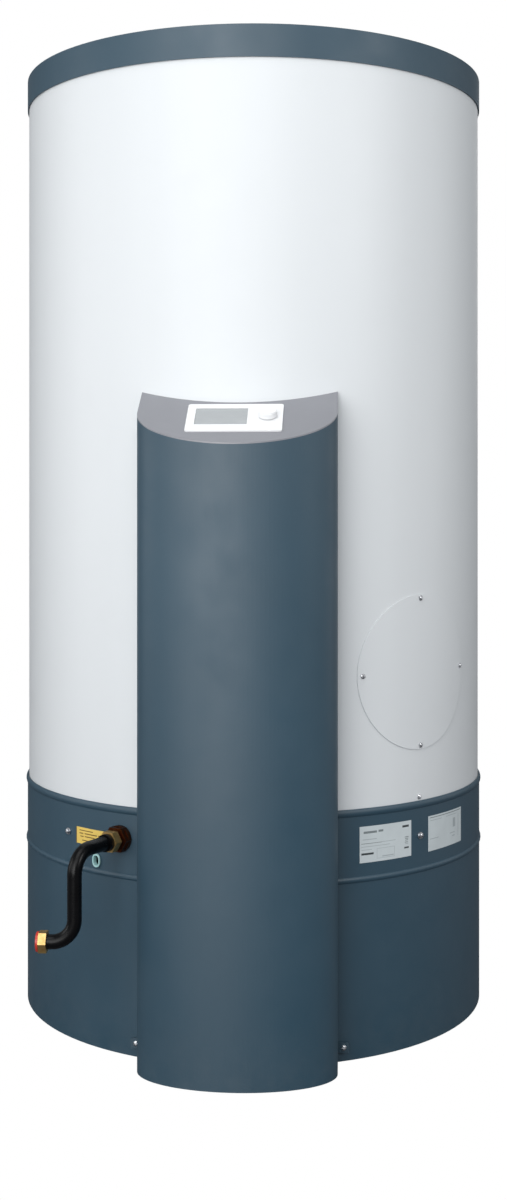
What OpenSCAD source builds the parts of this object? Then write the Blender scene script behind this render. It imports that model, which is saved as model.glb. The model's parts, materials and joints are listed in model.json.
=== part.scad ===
// Free-standing gas storage water heater: a round insulated tank on a steel base,
// with the burner, fan and controls behind a removable half-oval front cover.
// Origin: where the tank's axis meets the floor. +Z is up and the front faces -Y.
// Angles round the casing are measured from the front towards +X.

/* [Casing] */
// Outer radius of the white jacket
jacket_r = 394; // [392:0.5:395]
// Height of the lid's top above the floor
total_h = 1585; // [1575:5:1620]
// Depth of the lid's skirt
lid_h = 50; // [40:1:60]
// Height of the dark base shell
base_h = 385; // [380:1:390]
// Height of the base shell's lower bead
bead_z = 276; // [265:1:285]
// Thickness of the casing sheets
sheet_t = 1.5; // [1:0.1:1.5]

/* [Front cover] */
// Half of the cover's width
cover_half_w = 151; // [149:1:153]
// How far the half-oval front bulges past its widest line
cover_bulge = 81; // [78:1:84]
// Distance from the tank's axis to the cover's widest line
cover_wide_y = 421; // [418:1:424]
// Height of the cover's front top edge
cover_front_z = 945; // [930:1:960]
// Slope of the console on top of the cover, in degrees
console_slope = 31; // [30:0.5:32]

/* [Controls] */
// Width of the control unit's bezel
bezel_w = 144; // [140:1:150]
// Length of the control unit's bezel along the slope
bezel_l = 84; // [82:1:86]
// Diameter of the control knob
knob_d = 28; // [20:1:32]
// How far the knob can be pressed
knob_travel = 1.5; // [1:0.1:1.5]

/* [Hatch] */
// Angle of the inspection hatch round the casing
hatch_angle = 45.3; // [44:0.1:48]
// Height of the hatch's centre
hatch_z = 589; // [580:1:620]
// Diameter of the hatch cover
hatch_d = 245; // [240:1:250]

/* [Gas connection] */
// Angle of the gas connection round the casing
gas_angle = -28; // [-28.5:0.25:-27]
// Height of the gas connection
gas_z = 335; // [325:1:340]
// Outer diameter of the gas pipe
gas_pipe_d = 22; // [20:1:22]
// Distance from the tank's axis to the pipe's vertical run
gas_reach = 513; // [505:1:530]
// Height of the gas pipe's free end
gas_end_z = 202; // [180:1:220]

/* [Hidden] */
$fn = 64;

// Casing
base_r = jacket_r + 2.5;
rim_r = 9.3;
bead_round_r = 6;
bead_out = 2.2;
bead_r = base_r + bead_out;
lid_r = jacket_r + 2.5;
jacket_bottom = base_h - 10;
jacket_top = total_h - lid_h + 10;
recess_half_w = 122;
recess_top = 930;
recess_bottom = base_h + 15;
base_opening_z = [40, base_h - 25];
base_screw_angles = [45, 135, -135, -45];
base_screw_z = 330;
jacket_screw_places = [[45, 391], [135, 391], [-135, 391]];
jacket_hole_d = 5;
seam_angle = -155;
seam_turn = 2.2;
grommet_angle = -35;
grommet_z = 294;
grommet_r = 8;
label_t = 0.3;
label_gap = 0.05;
label_z = [301, 357];
far = 2000;

// Radial cuts through the casing start well inside it and end well outside
cut_start = 380;
cut_l = 40;

// Tank
tank_r = 300;
tank_wall = 3;
head_depth = 100;
tank_bottom = 385;
tank_top = 1500;
weld_gap = 0.3;
frame_r = 236;
frame_wall = 6;
frame_h = 430;
sensor_z = 900;
sensor_d = 14;
anode_low = 950;
boss_r = 30;

// Burner group, on a horizontal axis at the front
burner_z = 760;
chamber_r = 95;
chamber_end_y = 150;
flange_r = 113;
flange_bolt_r = 104;
flange_back_y = -312;
flange_t = 10;
gasket_t = 3;
door_t = 8;
door_back_y = flange_back_y - flange_t - gasket_t;
door_front_y = door_back_y - door_t;
fan_y = -415;
fan_r = 75;
fan_w = 56;
fan_wall = 2.5;
duct_w = 45;
fan_z = burner_z - fan_r + duct_w / 2;
motor_r = 35;
motor_l = 45;
shaft_d = 8;
blade_count = 16;
igniter_x = -58;
igniter_drop = 40;
running_gap = 0.05;
valve_x = -85;
valve_top = 640;
valve_h = 80;
mixing_d = 32;
mixing_bore = 27;

// Flue and condensate
coil_r = 190;
coil_d = 44;
coil_start = [0, 100, burner_z - 110];
coil_end = [0, 150, 430];
coil_steps = 60;
coil_turns = 2;
coil_sides = 10;
collector_r = 75;
collector_z = [240, 380];
flue_z = 310;
flue_bore = 76;
socket_bore = 80.6;
socket_l = 50;
flue_out_y = 446;
flue_l = flue_out_y - coil_end.y;
siphon_pos = [60, -330, 20];
siphon_r = 40;
condensate_z = 120;
condensate_d = 20;

// Drain
drain_z = 320;
drain_y = -335;
lever_y = drain_y - 25;
lever_l = 68;
drain_d = 27;

// Water connections at the back
water_d = 33.2;
water_bore = 26;
water_out_r = 440;
cold_z = 520;
hot_z = 1380;
back = 180;

// Console, measured along the slope from its front edge
cover_nose_y = -cover_wide_y - cover_bulge;
rim_w = 8;
panel_t = 1.8;
panel_gap = 0.1;
bezel_x = -74.5;
bezel_y = 32.2;
bezel_top = 2;
window_x = -62;
window_y = 52.2;
window_w = 78.6;
window_l = 51;
window_ledge = 2;
knob_x = 47;
knob_y = 77;
knob_base = bezel_top + knob_travel + 0.3;
knob_h = 9;
encoder_d = 6;
box_y = [44, 106];
box_x = [-66, 60];
box_depth = 24;

// Hatch
hatch_hole_d = 215;
hatch_screw_rise = 116.5;
hatch_screw_turn = 16.7;
hatch_gap = 0.4;
hatch_outer_r = jacket_r + hatch_gap + 1.2;
neck_r = 75;
neck_bore_r = 70;
neck_out = 312;
blind_r = 93;
blind_bolt_r = 84;

// Gas line
inner_turn_y = -322;
inner_start = 388;
bulkhead_l = 20;
union_start = base_r + bulkhead_l + 0.6;
union_w = 14;
collar_d = 27;
collar_l = 8;
nut_af = 30;
nut_round = 1.24;
hex_ratio = 2 / sqrt(3);
end_nut_w = 12;
end_nut_start = 41;
bend_r = 34;
bend_lap = 0.8;
bend_step = 0.06;
cap_t = 3.5;
gas_corner = [gas_reach * sin(gas_angle), -gas_reach * cos(gas_angle), gas_z];
gas_end = [gas_corner.x, gas_corner.y, gas_end_z];
nut_x = gas_end.x - end_nut_start;

function unit(v) = v / norm(v);
function polar_point(r, angle, z) = [r * sin(angle), -r * cos(angle), z];

// A frame on the casing: +Z points outwards, +Y up, at an angle and a height.
module on_shell(angle, z) {
    rotate([0, 0, angle]) translate([0, 0, z]) rotate([90, 0, 0]) children();
}

// A straight hole through the casing at an angle and a height.
module casing_hole(angle, z, d) {
    on_shell(angle, z) translate([0, 0, cut_start]) cylinder(d = d, h = cut_l);
}

// A frame on the console: +Z stands off the slope and +Y runs up it.
module on_console() {
    translate([0, cover_nose_y, cover_front_z]) rotate([console_slope, 0, 0]) children();
}

// A frame whose +Z points to the front, at a height on the centre line.
module facing_front(y, z) {
    translate([0, y, z]) rotate([90, 0, 0]) children();
}

module ring(r_out, r_in, h) {
    difference() {
        cylinder(r = r_out, h = h, $fn = 180);
        translate([0, 0, -1]) cylinder(r = r_in, h = h + 2, $fn = 180);
    }
}

module tube(d, bore, h) {
    linear_extrude(h) tube_section(d, bore);
}

module tube_section(d, bore) {
    difference() {
        circle(d = d);
        circle(d = bore);
    }
}

module hex(af, h) {
    cylinder(d = af * hex_ratio, h = h, $fn = 6);
}

// A plate that follows the casing, between two angles and two heights.
module arc_plate(r, t, angles, heights) {
    translate([0, 0, heights[0]])
        rotate([0, 0, angles[0] - 90])
            rotate_extrude(angle = angles[1] - angles[0], $fn = 180)
                translate([r, 0]) square([t, heights[1] - heights[0]]);
}

module elbow(corner, u, v, d) {
    turn = acos(u * v);
    n = unit(v - (v * u) * u);
    w = cross(u, n);
    c = corner - u * bend_r * tan(turn / 2) + n * bend_r;
    multmatrix([[-n.x, u.x, w.x, c.x], [-n.y, u.y, w.y, c.y], [-n.z, u.z, w.z, c.z]])
        rotate_extrude(angle = turn) translate([bend_r, 0]) circle(d = d);
}

// Straight runs between points with a round bend at each corner. The straights are a hair
// thinner and reach a little way into the bends, and past both ends by an overrun.
module pipe_solid(points, d, overrun) {
    last = len(points) - 1;
    dirs = [for (i = [0:last - 1]) unit(points[i + 1] - points[i])];
    trims = [for (i = [0:last]) i == 0 || i == last ? overrun
        : bend_lap - bend_r * tan(acos(dirs[i - 1] * dirs[i]) / 2)];
    for (i = [0:last - 1])
        translate(points[i] - dirs[i] * trims[i])
            rotate([0, acos(dirs[i].z), atan2(dirs[i].y, dirs[i].x)])
                cylinder(d = d - bend_step,
                    h = norm(points[i + 1] - points[i]) + trims[i] + trims[i + 1]);
    for (i = [1:1:last - 1]) elbow(points[i], dirs[i - 1], dirs[i], d);
}

module pipe_run(points, d, bore) {
    difference() {
        pipe_solid(points, d, 0);
        pipe_solid(points, bore, 1);
    }
}

// A round-headed cross-recess screw, seated on Z = 0 and pointing down.
module pan_screw(head_d, head_h, shank_d, shank_l) {
    difference() {
        intersection() {
            cylinder(d = head_d, h = head_h, $fn = 32);
            translate([0, 0, head_h - head_d * 0.75]) sphere(d = head_d * 1.5, $fn = 32);
        }
        for (turn = [0, 90])
            rotate([0, 0, turn])
                translate([-head_d / 4, -head_d / 16, head_h * 0.5])
                    cube([head_d / 2, head_d / 8, head_h]);
    }
    translate([0, 0, -shank_l]) cylinder(d = shank_d, h = shank_l, $fn = 24);
}

module hex_bolt(af, head_h, shank_d, shank_l) {
    hex(af, head_h);
    translate([0, 0, -shank_l]) cylinder(d = shank_d, h = shank_l, $fn = 24);
}

module around(count, r) {
    for (i = [0:count - 1])
        rotate([0, 0, (i + 0.5) * 360 / count]) translate([r, 0, 0]) children();
}

// Base -----------------------------------------------------------------

module base_plate() {
    color("dimgray") cylinder(r = base_r - sheet_t - 0.5, h = 3, $fn = 180);
}

// The tank's outline, pulled in or pushed out by an offset.
function head_points(r, depth, z, side) = [for (i = [0:15])
    let (a = i * 6) side > 0 ? [r * cos(a), z + depth * sin(a)] : [r * sin(a), z - depth * cos(a)]];

function tank_outline(grow) = concat(
    head_points(tank_r + grow, head_depth + grow, tank_bottom + head_depth, -1),
    head_points(tank_r + grow, head_depth + grow, tank_top - head_depth, 1),
    [[0, tank_top + grow]]);

module tank_solid(grow) {
    rotate_extrude($fn = 180) polygon(tank_outline(grow));
}

module support_frame() {
    color("slategray") difference() {
        translate([0, 0, 3]) ring(frame_r, frame_r - frame_wall, frame_h);
        tank_solid(weld_gap);
        for (turn = [0, 90])
            rotate([0, 0, turn]) translate([-100, -300, 60]) cube([200, 600, 320]);
    }
}

// Half the height over which the rolled rim stands out of the wall.
function rim_half_h() = sqrt(rim_r * rim_r - pow(rim_r - bead_out, 2));

module base_wall_section() {
    difference() {
        union() {
            translate([base_r - sheet_t, 0]) square([sheet_t, base_h]);
            translate([bead_r - rim_r, base_h - rim_half_h()]) circle(r = rim_r, $fn = 48);
            translate([bead_r - bead_round_r, bead_z]) circle(r = bead_round_r, $fn = 48);
        }
        square([base_r - sheet_t, base_h * 2]);
        translate([0, base_h]) square([base_r * 2, base_h]);
    }
}

module cover_screw_places() {
    for (side = [-1, 1])
        translate([side * (cover_half_w + 9), tab_front_y(), 23]) rotate([90, 0, 0]) children();
}

function tab_front_y() = -sqrt(base_r * base_r - cover_half_w * cover_half_w) - 2.1;

// An upright oval, grown or shrunk by an offset.
module grommet_outline(grow) {
    half_l = 2.5;
    r = grommet_r + grow;
    for (side = [-1, 1]) translate([0, side * half_l]) circle(r = r, $fn = 32);
    translate([-r, -half_l]) square([2 * r, 2 * half_l]);
}

module base_shell() {
    color("darkslategray") difference() {
        rotate_extrude($fn = 180) base_wall_section();
        translate([-recess_half_w, -base_r - 10, base_opening_z[0]])
            cube([2 * recess_half_w, 120, base_opening_z[1] - base_opening_z[0]]);
        casing_hole(gas_angle, gas_z, 26.6);
        casing_hole(back, flue_z, 90);
        on_shell(grommet_angle, grommet_z) translate([0, 0, cut_start])
            linear_extrude(cut_l) grommet_outline(-1.5);
        for (angle = base_screw_angles) casing_hole(angle, base_screw_z, 5);
        cover_screw_places() translate([0, 0, -40]) cylinder(d = 6.6, h = 38, $fn = 24);
    }
}

module base_screws() {
    washer_t = 1.2;
    color("silver")
        for (angle = base_screw_angles)
            on_shell(angle, base_screw_z) translate([0, 0, base_r + 0.1]) {
                cylinder(d = 11, h = washer_t, $fn = 32);
                translate([0, 0, washer_t]) pan_screw(8, 4.2, 4, 8);
            }
}

// Tank ------------------------------------------------------------------

module tank_vessel() {
    color("steelblue") difference() {
        union() {
            difference() {
                tank_solid(0);
                tank_solid(-tank_wall);
            }
            on_shell(hatch_angle, hatch_z) {
                translate([0, 0, tank_r - 20]) cylinder(r = neck_r, h = neck_out - tank_r + 10);
                translate([0, 0, neck_out - 10]) cylinder(r = blind_r, h = 10);
            }
            translate([0, 0, tank_top - 6]) cylinder(r = boss_r, h = 18);
        }
        on_shell(hatch_angle, hatch_z) translate([0, 0, tank_r - 60]) {
            cylinder(r = neck_bore_r, h = 100);
            around(8, blind_bolt_r) cylinder(d = 11, h = 100, $fn = 24);
        }
        facing_front(-tank_r / 2, burner_z) cylinder(r = chamber_r + weld_gap, h = tank_r);
        translate([0, 0, tank_top - 60]) cylinder(d = water_d + 0.6, h = 100);
        for (z = [cold_z, hot_z])
            on_shell(back, z) translate([0, 0, 200]) cylinder(d = water_d + 0.6, h = 200);
        on_shell(0, sensor_z) translate([0, 0, 200]) cylinder(d = sensor_d + 0.6, h = 200);
        translate([coil_end.x, coil_end.y, 300]) cylinder(d = coil_d + 0.6, h = 150);
        translate([0, 0, 300]) cylinder(d = drain_d + 0.6, h = 150);
    }
}

module combustion_chamber() {
    color("gray") {
        facing_front(chamber_end_y, burner_z) difference() {
            union() {
                cylinder(r = chamber_r, h = chamber_end_y - flange_back_y);
                translate([0, 0, chamber_end_y - flange_back_y]) cylinder(r = flange_r, h = flange_t);
            }
            translate([0, 0, 3]) cylinder(r = chamber_r - 3, h = 600);
            translate([0, 0, chamber_end_y - flange_back_y - 1])
                around(8, flange_bolt_r) cylinder(d = 9, h = 20, $fn = 24);
        }
        difference() {
            translate(coil_start) tube(coil_d, coil_d - 4, 100);
            facing_front(chamber_end_y, burner_z) cylinder(r = chamber_r - 1, h = 400);
        }
    }
}

// The coil drops straight out of the chamber, makes two turns and drops again.
function fade(t) = (1 + 6 * t + 21 * t * t) * pow(1 - t, 6);
function coil_point(t) =
    let (
        r = coil_r - (coil_r - coil_start.y) * fade(t) - (coil_r - coil_end.y) * fade(1 - t),
        a = 90 + 360 * coil_turns * (t - sin(360 * t) / (2 * PI)),
        z = coil_start.z + (coil_end.z - coil_start.z) * t
    ) [r * cos(a), r * sin(a), z];
function coil_ring(t) =
    let (
        step = 0.002,
        ahead = unit(coil_point(min(1, t + step)) - coil_point(max(0, t - step))),
        tangent = t <= 0 || t >= 1 ? [0, 0, -1] : ahead,
        out = unit(cross(tangent, [coil_point(t).y, -coil_point(t).x, 0.001])),
        side = cross(tangent, out)
    ) [for (k = [0:coil_sides - 1])
        coil_point(t) + coil_d / 2 * (out * cos(k * 360 / coil_sides) + side * sin(k * 360 / coil_sides))];

module smoke_coil() {
    rings = [for (i = [0:coil_steps]) coil_ring(i / coil_steps)];
    points = [for (r = rings) each r];
    last = coil_steps * coil_sides;
    walls = [for (i = [0:coil_steps - 1], k = [0:coil_sides - 1])
        let (a = i * coil_sides + k, b = i * coil_sides + (k + 1) % coil_sides)
        [a, a + coil_sides, b + coil_sides, b]];
    start_cap = [[for (k = [0:coil_sides - 1]) k]];
    end_cap = [[for (k = [coil_sides - 1:-1:0]) last + k]];
    color("rosybrown") {
        polyhedron(points, concat(walls, start_cap, end_cap));
        translate([coil_end.x, coil_end.y, collector_z[1] - 8])
            cylinder(d = coil_d, h = coil_end.z - collector_z[1] + 8.5);
    }
}

module flue_collector() {
    color("gray") difference() {
        translate([0, coil_end.y, collector_z[0]])
            cylinder(r = collector_r, h = collector_z[1] - collector_z[0]);
        translate([0, coil_end.y, collector_z[0] + 2])
            cylinder(r = collector_r - 2, h = collector_z[1] - collector_z[0] - 4);
        translate([coil_end.x, coil_end.y, collector_z[1] - 10]) cylinder(d = coil_d + 0.6, h = 20);
        translate([0, coil_end.y, collector_z[0] - 5]) cylinder(d = condensate_d + 0.6, h = 20);
        on_shell(back, flue_z) cylinder(d = flue_bore, h = 300);
    }
}

module flue_outlet() {
    color("silver") difference() {
        on_shell(back, flue_z) translate([0, 0, coil_end.y])
            difference() {
                union() {
                    cylinder(d = flue_bore + 4, h = flue_l);
                    translate([0, 0, flue_l - socket_l - 4])
                        cylinder(d = socket_bore + 4, h = socket_l + 4);
                    translate([0, 0, flue_l - 8]) cylinder(d = socket_bore + 10, h = 8);
                }
                translate([0, 0, -1]) cylinder(d = flue_bore, h = 400);
                translate([0, 0, flue_l - socket_l]) cylinder(d = socket_bore, h = socket_l + 1);
            }
        translate([0, coil_end.y, 0]) cylinder(r = collector_r + weld_gap, h = 600);
    }
}

module condensate_pipe() {
    color("lightgray") difference() {
        pipe_run([
            [0, coil_end.y, collector_z[0] + 1],
            [0, coil_end.y, condensate_z],
            [siphon_pos.x, -300, condensate_z]
        ], condensate_d, condensate_d - 4);
        translate(siphon_pos) cylinder(r = siphon_r + 0.2, h = 400);
    }
}

module condensate_siphon() {
    color("lightgray") translate(siphon_pos) difference() {
        union() {
            cylinder(r = siphon_r, h = 130);
            translate([0, 0, 130]) cylinder(r = siphon_r + 3, h = 12);
            translate([0, -siphon_r + 4, 40]) rotate([90, 0, 0]) cylinder(d = 22, h = 34);
        }
        translate([0, 0, 3]) cylinder(r = siphon_r - 3, h = 124);
        translate([0, -siphon_r + 9, 40]) rotate([90, 0, 0]) cylinder(d = 18, h = 60);
    }
}

module drain_pipe() {
    color("peru") pipe_run([
        [0, 0, tank_bottom + 3],
        [0, 0, drain_z],
        [0, drain_y, drain_z]
    ], drain_d, drain_d - 5);
}

module drain_valve() {
    color("goldenrod") difference() {
        union() {
            facing_front(drain_y, drain_z) {
                hex(32, 12);
                translate([0, 0, 12]) cylinder(d = 34, h = 28);
                translate([0, 0, 40]) hex(30, 10);
                translate([0, 0, 50]) cylinder(d = 20, h = 18);
                translate([0, 0, 58]) cylinder(d = 23, h = 4);
            }
            translate([0, lever_y, drain_z]) cylinder(d = 12, h = 25);
        }
        facing_front(drain_y + 1, drain_z) cylinder(d = 14, h = 100);
        translate([0, lever_y, drain_z + 10]) cylinder(d = 6 + 2 * running_gap, h = 30);
    }
}

module drain_lever() {
    color("firebrick") translate([0, lever_y, drain_z]) {
        translate([0, 0, 12]) cylinder(d = 6, h = 18);
        translate([0, 0, 26]) cylinder(d = 18, h = 4);
        translate([0, -6, 26]) cube([lever_l, 12, 4]);
        translate([lever_l, 0, 26]) cylinder(d = 16, h = 4);
    }
}

module anode_rod() {
    color("lightslategray") {
        translate([0, 0, anode_low]) cylinder(d = 26, h = tank_top - anode_low);
        translate([0, 0, tank_top - 4]) cylinder(d = water_d, h = 16.2);
        translate([0, 0, tank_top + 12.2]) hex(36, 12);
    }
}

module sensor_pocket() {
    color("silver") on_shell(0, sensor_z) difference() {
        union() {
            translate([0, 0, 180]) cylinder(d = sensor_d, h = tank_r - 170);
            translate([0, 0, tank_r + 0.5]) hex(24, 10);
        }
        translate([0, 0, 190]) cylinder(d = sensor_d - 5, h = 200);
    }
}

module water_stub(z) {
    on_shell(back, z) {
        translate([0, 0, 285]) tube(water_d, water_bore, water_out_r - 285);
        translate([0, 0, jacket_r + 1]) tube(water_d + 14, water_d - 1, 2);
    }
}

module cold_inlet() {
    color("slategray") water_stub(cold_z);
}

module hot_outlet() {
    color("slategray") water_stub(hot_z);
}

// Insulation and jacket ---------------------------------------------------

module insulation(side) {
    intersection() {
        difference() {
            translate([0, 0, base_h + 3]) ring(jacket_r - 10, tank_r + 1, total_h - base_h - 58);
            translate([-recess_half_w, -far, 0]) cube([2 * recess_half_w, far - 200, recess_top]);
            on_shell(hatch_angle, hatch_z) cylinder(d = hatch_hole_d, h = far);
            for (z = [cold_z, hot_z]) on_shell(back, z) cylinder(d = 40, h = far);
        }
        translate([side > 0 ? 0.25 : -far - 0.25, -far / 2, 0]) cube([far, far, far]);
    }
}

module insulation_left() {
    color("khaki") insulation(-1);
}

module insulation_right() {
    color("khaki") insulation(1);
}

module top_insulation() {
    color("khaki") translate([0, 0, total_h - 54]) ring(jacket_r - 3, 40, 54 - sheet_t - 0.3);
}

module hatch_screw_places() {
    for (side = [-1, 1]) {
        on_shell(hatch_angle + side * hatch_screw_turn, hatch_z) children();
        on_shell(hatch_angle, hatch_z + side * hatch_screw_rise) children();
    }
}

module jacket() {
    color("white") difference() {
        translate([0, 0, jacket_bottom]) ring(jacket_r, jacket_r - sheet_t, jacket_top - jacket_bottom);
        translate([-recess_half_w, -far, recess_bottom])
            cube([2 * recess_half_w, far - 200, recess_top - recess_bottom]);
        on_shell(hatch_angle, hatch_z) translate([0, 0, 200]) cylinder(d = hatch_hole_d, h = far);
        hatch_screw_places() translate([0, 0, cut_start]) cylinder(d = 7.5, h = cut_l, $fn = 24);
        for (z = [cold_z, hot_z]) on_shell(back, z) translate([0, 0, 200]) cylinder(d = 40, h = far);
        for (p = jacket_screw_places) casing_hole(p[0], p[1], jacket_hole_d);
    }
}

module jacket_seam() {
    color("white")
        arc_plate(jacket_r + 0.2, 1.4, [seam_angle - seam_turn, seam_angle + seam_turn],
            [base_h + 4, total_h - lid_h - 3]);
}

module jacket_screws() {
    color("silver")
        for (p = jacket_screw_places)
            on_shell(p[0], p[1]) translate([0, 0, jacket_r + 0.1]) pan_screw(8, 2.8, 4, 6);
}

module lid() {
    color("darkslategray") translate([0, 0, total_h - lid_h]) difference() {
        cylinder(r = lid_r, h = lid_h, $fn = 180);
        translate([0, 0, -1]) cylinder(r = lid_r - sheet_t, h = lid_h + 1 - sheet_t, $fn = 180);
    }
}

// Inspection hatch ----------------------------------------------------------

module hatch_cover() {
    color("white") difference() {
        intersection() {
            translate([0, 0, hatch_z - hatch_d]) ring(hatch_outer_r, jacket_r + hatch_gap, 2 * hatch_d);
            on_shell(hatch_angle, hatch_z) translate([0, 0, 200])
                cylinder(d = hatch_d, h = 400, $fn = 120);
        }
        hatch_screw_places() translate([0, 0, cut_start]) cylinder(d = 4.4, h = cut_l, $fn = 24);
    }
}

module hatch_plug() {
    color("khaki") intersection() {
        on_shell(hatch_angle, hatch_z) translate([0, 0, 346]) cylinder(d = hatch_hole_d - 5, h = 100);
        cylinder(r = jacket_r + 0.1, h = far, $fn = 180);
    }
}

module hatch_screws() {
    color("silver") hatch_screw_places() translate([0, 0, hatch_outer_r + 0.1]) pan_screw(8, 2.8, 4, 5);
}

module inspection_gasket() {
    color("black") on_shell(hatch_angle, hatch_z) translate([0, 0, neck_out]) tube(156, 140, gasket_t);
}

module inspection_flange() {
    color("gray") on_shell(hatch_angle, hatch_z) translate([0, 0, neck_out + gasket_t]) difference() {
        cylinder(r = blind_r, h = 10);
        translate([0, 0, -1]) around(8, blind_bolt_r) cylinder(d = 11, h = 20, $fn = 24);
    }
}

module inspection_bolts() {
    color("silver") on_shell(hatch_angle, hatch_z) translate([0, 0, neck_out + gasket_t + 10])
        around(8, blind_bolt_r) hex_bolt(17, 6.4, 10, 22);
}

// Burner group ----------------------------------------------------------------

module burner_gasket() {
    color("black") facing_front(door_back_y + gasket_t, burner_z) difference() {
        cylinder(r = flange_r, h = gasket_t);
        translate([0, 0, -1]) cylinder(r = chamber_r - 3, h = gasket_t + 2);
        translate([0, 0, -1]) around(8, flange_bolt_r) cylinder(d = 9, h = 10, $fn = 24);
    }
}

module burner_door() {
    color("silver") facing_front(door_back_y, burner_z) difference() {
        cylinder(r = flange_r, h = door_t);
        translate([0, 0, -1]) cylinder(d = duct_w - 2 * fan_wall, h = door_t + 2);
        translate([0, 0, -1]) around(8, flange_bolt_r) cylinder(d = 9, h = 20, $fn = 24);
        translate([igniter_x, -igniter_drop, -1]) cylinder(d = 10.2, h = 20);
    }
}

module burner_bolts() {
    color("gold") facing_front(door_front_y, burner_z)
        around(8, flange_bolt_r) hex_bolt(13, 5.5, 8, 20);
}

module burner_tube() {
    color("gray") facing_front(-80, burner_z) difference() {
        union() {
            cylinder(d = 70, h = -door_back_y - 80.2);
            translate([0, 0, -door_back_y - 82.2]) cylinder(d = 90, h = 2);
        }
        translate([0, 0, 2]) cylinder(d = 66, h = 400);
    }
}

module igniter() {
    color("ivory") facing_front(0, burner_z) translate([igniter_x, -igniter_drop, 0]) {
        translate([0, 0, -door_back_y - 10]) cylinder(d = 10, h = 44);
        translate([0, 0, -door_back_y - 50]) cylinder(d = 3, h = 60);
        translate([0, 0, -door_front_y + 0.1]) tube(16, 9.9, 5);
    }
}

// A frame on the fan's shaft: +Z runs along +X.
module on_fan_axis() {
    translate([0, fan_y, fan_z]) rotate([0, 90, 0]) children();
}

module fan_housing() {
    duct_l = door_front_y - fan_y;
    flange_half = 32;
    color("silver") difference() {
        union() {
            on_fan_axis() translate([0, 0, -fan_w / 2]) cylinder(r = fan_r, h = fan_w);
            translate([-duct_w / 2, fan_y, burner_z - duct_w / 2]) cube([duct_w, duct_l, duct_w]);
            translate([-flange_half, door_front_y - 4, burner_z - flange_half])
                cube([2 * flange_half, 4, 2 * flange_half]);
        }
        on_fan_axis() translate([0, 0, -fan_w / 2 + fan_wall])
            cylinder(r = fan_r - fan_wall, h = fan_w - 2 * fan_wall);
        translate([-duct_w / 2 + fan_wall, fan_y, burner_z - duct_w / 2 + fan_wall])
            cube([duct_w - 2 * fan_wall, duct_l + 1, duct_w - 2 * fan_wall]);
        on_fan_axis() translate([0, 0, -fan_w]) cylinder(d = mixing_d + 0.6, h = fan_w);
        on_fan_axis() cylinder(d = 12, h = fan_w);
    }
}

module fan_impeller() {
    color("dimgray") on_fan_axis() {
        translate([0, 0, 12]) cylinder(r = 60, h = 2);
        cylinder(r = 11, h = 12.5);
        translate([0, 0, -14]) tube(118, 96, 2);
        for (i = [0:blade_count - 1])
            rotate([0, 0, i * 360 / blade_count])
                translate([36, -1, -13]) rotate([0, 0, 25]) cube([22, 2, 26]);
        cylinder(d = shaft_d, h = 45);
    }
}

module fan_motor() {
    color("dimgray") on_fan_axis() translate([0, 0, fan_w / 2 + 0.2]) difference() {
        union() {
            cylinder(r = motor_r + 6, h = 3);
            cylinder(r = motor_r, h = motor_l);
            translate([0, 0, motor_l]) cylinder(r = motor_r - 8, h = 4);
        }
        translate([0, 0, -1]) cylinder(d = shaft_d + 2 * running_gap, h = 22);
    }
}

module mixing_tube() {
    color("gray") {
        pipe_run([
            [valve_x, fan_y, valve_top + 0.1],
            [valve_x, fan_y, fan_z],
            [-fan_w / 2 + 1, fan_y, fan_z]
        ], mixing_d, mixing_bore);
        translate([valve_x, fan_y, valve_top + 0.1]) tube(46, 31, 4);
    }
}

module gas_valve() {
    color("dimgray") translate([valve_x, fan_y, valve_top]) difference() {
        union() {
            translate([-27, -25, -valve_h]) cube([54, 55, valve_h]);
            translate([0, -25, -52]) rotate([90, 0, 0]) cylinder(d = 34, h = 14);
            translate([0, -25, -20]) rotate([90, 0, 0]) cylinder(d = 16, h = 8);
            translate([0, 0, -valve_h - 12]) hex(34, 12);
        }
        translate([0, 0, -valve_h - 20]) cylinder(d = gas_pipe_d + 0.4, h = 32);
        translate([0, 0, -30]) cylinder(d = 27, h = 40);
    }
}

// Gas line ----------------------------------------------------------------------

module gas_inner_pipe() {
    start = polar_point(inner_start, gas_angle, gas_z);
    turn_in = [inner_turn_y * -tan(gas_angle), inner_turn_y, gas_z];
    color("goldenrod") pipe_run([
        start,
        turn_in,
        [valve_x, inner_turn_y, gas_z],
        [valve_x, fan_y, gas_z],
        [valve_x, fan_y, valve_top - valve_h + 10]
    ], gas_pipe_d, gas_pipe_d - 4);
}

module gas_bulkhead() {
    color("peru") on_shell(gas_angle, gas_z) difference() {
        union() {
            translate([0, 0, base_r + 0.6]) cylinder(d = 41, h = 7);
            translate([0, 0, base_r + 0.6]) hex(37, bulkhead_l - 5);
            translate([0, 0, base_r + 0.6]) cylinder(d = 31, h = bulkhead_l - 0.4);
            translate([0, 0, cut_start + 3]) cylinder(d = 26, h = base_r - cut_start + 5);
            translate([0, 0, cut_start + 4]) hex(34, base_r - sheet_t - cut_start - 6);
        }
        translate([0, 0, cut_start - 10]) cylinder(d = 17, h = 80);
        translate([0, 0, cut_start - 10])
            cylinder(d = gas_pipe_d + 0.6, h = inner_start - cut_start + 10.3);
    }
}

module gas_union_nut() {
    color("gold") on_shell(gas_angle, gas_z) translate([0, 0, union_start]) difference() {
        intersection() {
            hex(nut_af, union_w);
            translate([0, 0, union_w / 2]) sphere(d = nut_af * nut_round, $fn = 48);
        }
        translate([0, 0, -1]) cylinder(d = gas_pipe_d + 0.2, h = union_w + 2);
    }
}

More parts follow.
